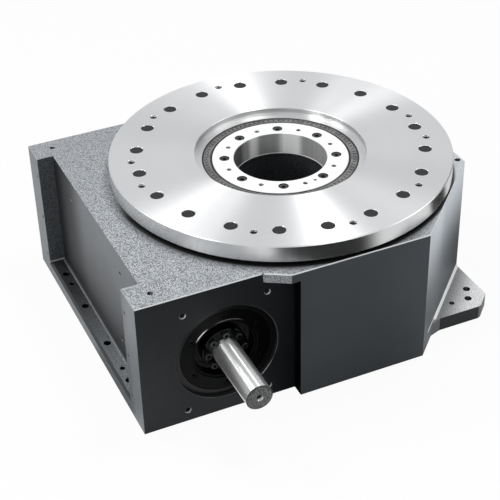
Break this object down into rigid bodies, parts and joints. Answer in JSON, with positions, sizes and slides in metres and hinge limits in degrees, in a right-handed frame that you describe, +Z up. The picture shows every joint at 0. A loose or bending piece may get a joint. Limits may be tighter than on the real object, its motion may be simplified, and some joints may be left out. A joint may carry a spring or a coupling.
{
  "type": "hollow rotary platform",
  "caption": "Hollow rotary platform: a large ring table with a sunk centre, turned by a cam shaft on a boxy cast housing with feet, around a still bored centre.",
  "frame": {"origin": "on the turning plate's axis, at the base plane", "axes": "+Z up along the turning plate's axis, the input shaft's driven end points to -Y, the side pocket with its row of feet is towards -X"},
  "size_m": [0.566, 0.586, 0.24],
  "materials": {
    "housing_paint": "textured grey paint over a machined casting",
    "cast_body": "dark, rough",
    "turned_steel": "fine turned",
    "shaft_steel": "ground",
    "cam_steel": "ground, hardened",
    "bearing_steel": "ground",
    "dark_steel": "blackened",
    "screw_steel": "blackened",
    "seal_rubber": "matte",
    "cap_plastic": "smooth moulded"
  },
  "bodies": {
    "housing": {"housing": "housing_paint", "centre_column": "cast_body", "column_screws": "screw_steel", "centre_ring": "turned_steel", "centre_ring_screws": "screw_steel", "main_bearing_inner_ring": "bearing_steel", "bearing_snap_ring": "screw_steel", "rim_seal": "seal_rubber", "front_bearing_housing": "dark_steel", "front_housing_screws": "screw_steel", "shaft_seal": "seal_rubber", "front_bearing_outer_rings": "bearing_steel", "rear_bearing_outer_ring": "bearing_steel", "rear_cap": "dark_steel", "rear_cap_screws": "screw_steel", "oil_plugs": "screw_steel"},
    "table": {"turning_plate": "turned_steel", "plate_screws": "screw_steel", "screw_caps": "cap_plastic", "turret_ring": "cast_body", "main_bearing_outer_ring": "bearing_steel", "centre_seal": "seal_rubber", "follower_studs": "bearing_steel", "follower_nuts": "screw_steel"},
    "camshaft": {"camshaft": "shaft_steel", "barrel_cam": "cam_steel", "cam_key": "bearing_steel", "cam_spacer": "bearing_steel", "seal_sleeve": "bearing_steel", "lock_nut": "dark_steel", "lock_nut_screws": "screw_steel", "rear_lock_nut": "dark_steel", "front_bearing_inner_rings": "bearing_steel", "rear_bearing_inner_ring": "bearing_steel"},
    "main_rollers": {"main_bearing_rollers": "bearing_steel"},
    "front_rollers": {"front_bearing_rollers": "bearing_steel"},
    "rear_rollers": {"rear_bearing_rollers": "bearing_steel"},
    "follower_1": {"follower_roller_1": "bearing_steel"},
    "follower_2": {"follower_roller_2": "bearing_steel"},
    "follower_3": {"follower_roller_3": "bearing_steel"},
    "follower_4": {"follower_roller_4": "bearing_steel"},
    "follower_5": {"follower_roller_5": "bearing_steel"},
    "follower_6": {"follower_roller_6": "bearing_steel"},
    "follower_7": {"follower_roller_7": "bearing_steel"},
    "follower_8": {"follower_roller_8": "bearing_steel"},
    "follower_9": {"follower_roller_9": "bearing_steel"},
    "follower_10": {"follower_roller_10": "bearing_steel"},
    "follower_11": {"follower_roller_11": "bearing_steel"},
    "follower_12": {"follower_roller_12": "bearing_steel"}
  },
  "joints": [
    {"name": "table_spin", "type": "hinge", "parent": "housing", "child": "table", "pos_m": [0, 0, 0.24], "axis": [0, 0, 1], "continuous": true},
    {"name": "input_spin", "type": "hinge", "parent": "housing", "child": "camshaft", "pos_m": [-0.191, 0, 0.098], "axis": [0, 1, 0], "continuous": true},
    {"name": "main_rollers_spin", "type": "hinge", "parent": "housing", "child": "main_rollers", "pos_m": [0, 0, 0.2075], "axis": [0, 0, 1], "continuous": true},
    {"name": "front_rollers_spin", "type": "hinge", "parent": "housing", "child": "front_rollers", "pos_m": [-0.191, 0, 0.098], "axis": [0, 1, 0], "continuous": true},
    {"name": "rear_rollers_spin", "type": "hinge", "parent": "housing", "child": "rear_rollers", "pos_m": [-0.191, 0, 0.098], "axis": [0, 1, 0], "continuous": true},
    {"name": "follower_1_spin", "type": "hinge", "parent": "table", "child": "follower_1", "pos_m": [-0.191, 0, 0.15], "axis": [0, 0, 1], "continuous": true},
    {"name": "follower_2_spin", "type": "hinge", "parent": "table", "child": "follower_2", "pos_m": [-0.16541, 0.0955, 0.15], "axis": [0, 0, 1], "continuous": true},
    {"name": "follower_3_spin", "type": "hinge", "parent": "table", "child": "follower_3", "pos_m": [-0.0955, 0.16541, 0.15], "axis": [0, 0, 1], "continuous": true},
    {"name": "follower_4_spin", "type": "hinge", "parent": "table", "child": "follower_4", "pos_m": [0, 0.191, 0.15], "axis": [0, 0, 1], "continuous": true},
    {"name": "follower_5_spin", "type": "hinge", "parent": "table", "child": "follower_5", "pos_m": [0.0955, 0.16541, 0.15], "axis": [0, 0, 1], "continuous": true},
    {"name": "follower_6_spin", "type": "hinge", "parent": "table", "child": "follower_6", "pos_m": [0.16541, 0.0955, 0.15], "axis": [0, 0, 1], "continuous": true},
    {"name": "follower_7_spin", "type": "hinge", "parent": "table", "child": "follower_7", "pos_m": [0.191, 0, 0.15], "axis": [0, 0, 1], "continuous": true},
    {"name": "follower_8_spin", "type": "hinge", "parent": "table", "child": "follower_8", "pos_m": [0.16541, -0.0955, 0.15], "axis": [0, 0, 1], "continuous": true},
    {"name": "follower_9_spin", "type": "hinge", "parent": "table", "child": "follower_9", "pos_m": [0.0955, -0.16541, 0.15], "axis": [0, 0, 1], "continuous": true},
    {"name": "follower_10_spin", "type": "hinge", "parent": "table", "child": "follower_10", "pos_m": [0, -0.191, 0.15], "axis": [0, 0, 1], "continuous": true},
    {"name": "follower_11_spin", "type": "hinge", "parent": "table", "child": "follower_11", "pos_m": [-0.0955, -0.16541, 0.15], "axis": [0, 0, 1], "continuous": true},
    {"name": "follower_12_spin", "type": "hinge", "parent": "table", "child": "follower_12", "pos_m": [-0.16541, -0.0955, 0.15], "axis": [0, 0, 1], "continuous": true}
  ],
  "couplings": [
    {"joint": "input_spin", "follows": "table_spin", "ratio": 12},
    {"joint": "main_rollers_spin", "follows": "table_spin", "ratio": 0.5184},
    {"joint": "front_rollers_spin", "follows": "table_spin", "ratio": 5.1725},
    {"joint": "rear_rollers_spin", "follows": "table_spin", "ratio": 5.1725}
  ]
}
